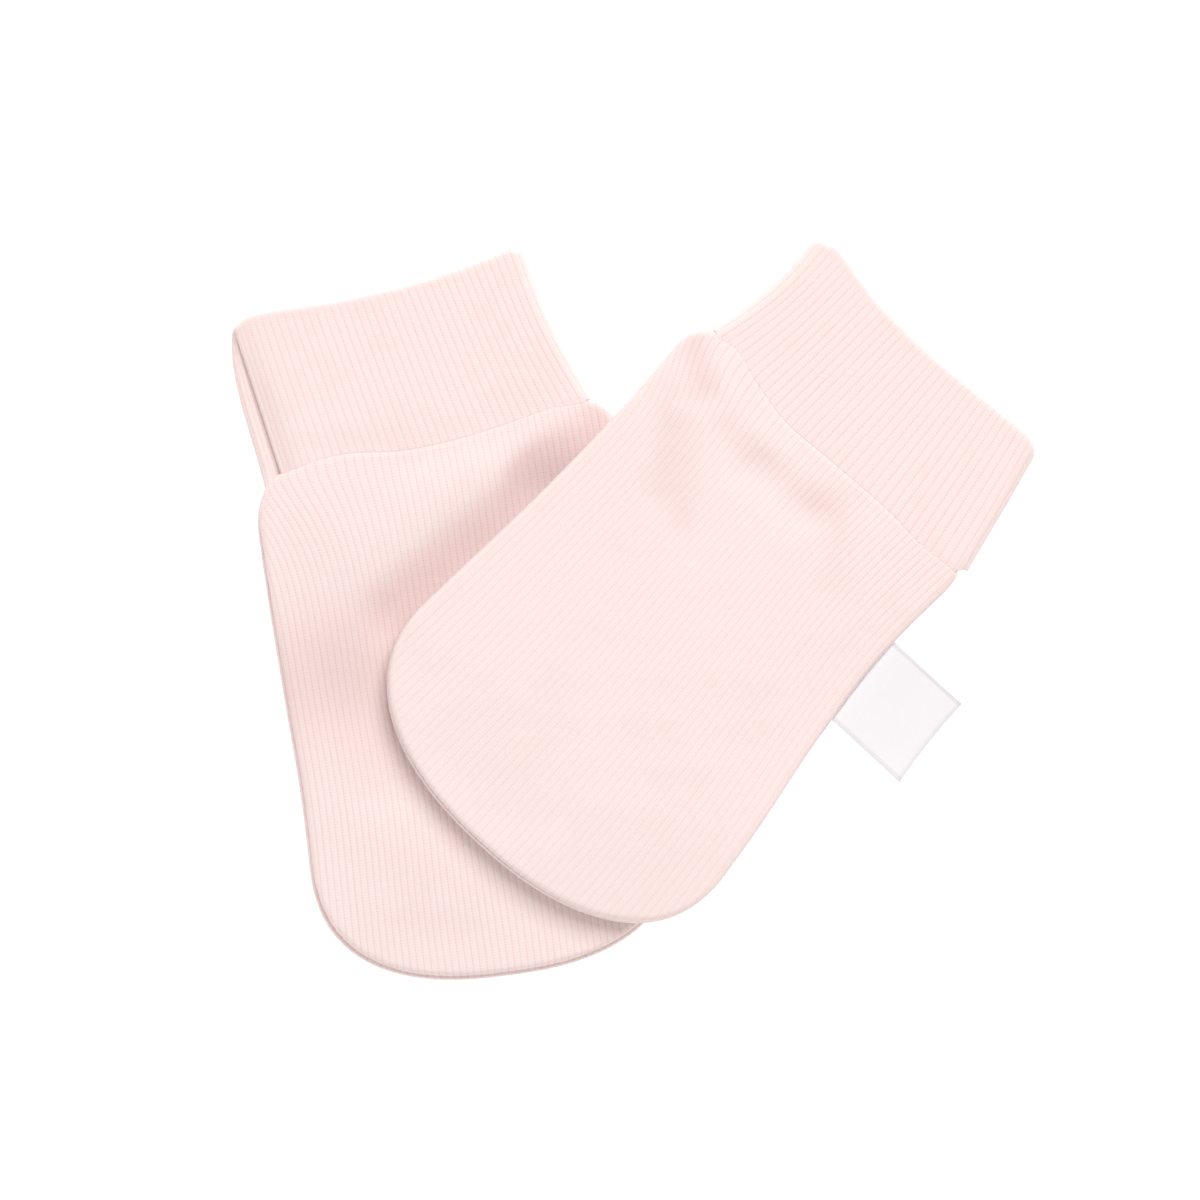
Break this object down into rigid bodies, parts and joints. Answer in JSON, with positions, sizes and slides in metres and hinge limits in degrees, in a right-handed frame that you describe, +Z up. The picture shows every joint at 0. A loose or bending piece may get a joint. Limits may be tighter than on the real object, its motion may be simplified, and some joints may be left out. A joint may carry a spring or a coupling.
{
  "type": "pair of baby mittens",
  "caption": "Pair of rib-knit baby mittens with folded cuffs, laid flat and crossed, with a ribbon label in a side seam.",
  "frame": {"origin": "centre of the laid pair's bounding box, on the surface that the pair lies on", "axes": "+Z up from that surface; the pair is seen from above with +Y towards the cuffs' side and +X to the right, where the upper mitten's cuff and label are"},
  "size_m": [0.161, 0.1482, 0.0115],
  "materials": {
    "hand_knit": "matte",
    "cuff_knit": "matte",
    "ribbon": "satin"
  },
  "bodies": {
    "root": {"lower_back": "hand_knit", "lower_front": "hand_knit", "lower_cuff": "cuff_knit", "upper_back": "hand_knit", "upper_front": "hand_knit", "upper_cuff": "cuff_knit", "upper_label": "ribbon"}
  },
  "joints": []
}
